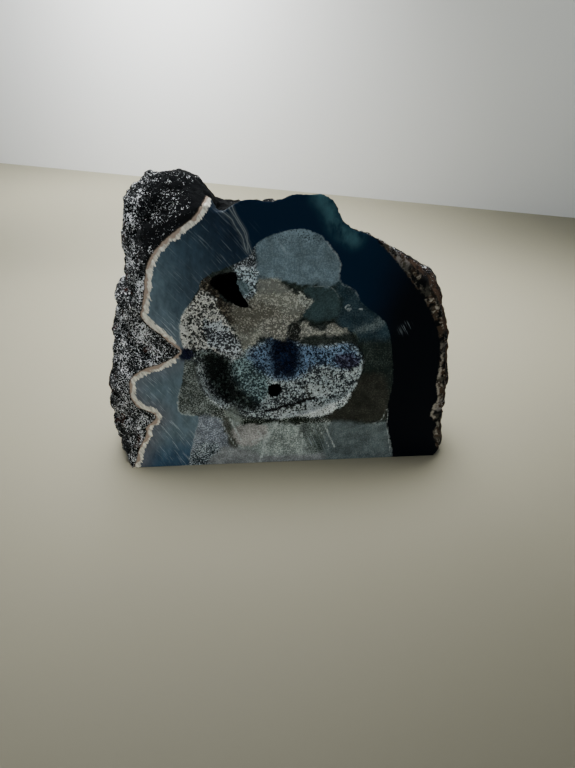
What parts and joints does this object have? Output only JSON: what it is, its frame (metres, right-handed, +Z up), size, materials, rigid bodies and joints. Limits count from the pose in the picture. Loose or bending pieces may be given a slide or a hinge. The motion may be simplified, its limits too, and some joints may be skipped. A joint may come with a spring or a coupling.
{
  "type": "agate geode",
  "caption": "Agate geode sawn into a standing block, with a banded cut face, rough natural skin and a hollow lined with small quartz crystals.",
  "frame": {"origin": "on the sawn base it rests on, under the middle of the block", "axes": "+X to the right along the sawn upright face, which looks along -Y; +Z up from the sawn base"},
  "size_m": [0.1223, 0.0571, 0.1001],
  "materials": {
    "agate_stone": "sawn face, satin; rough natural skin elsewhere",
    "crystal_crust": "fine sparkling crystals"
  },
  "bodies": {
    "root": {"agate_stone": "agate_stone", "crystal_crust": "crystal_crust"}
  },
  "joints": []
}
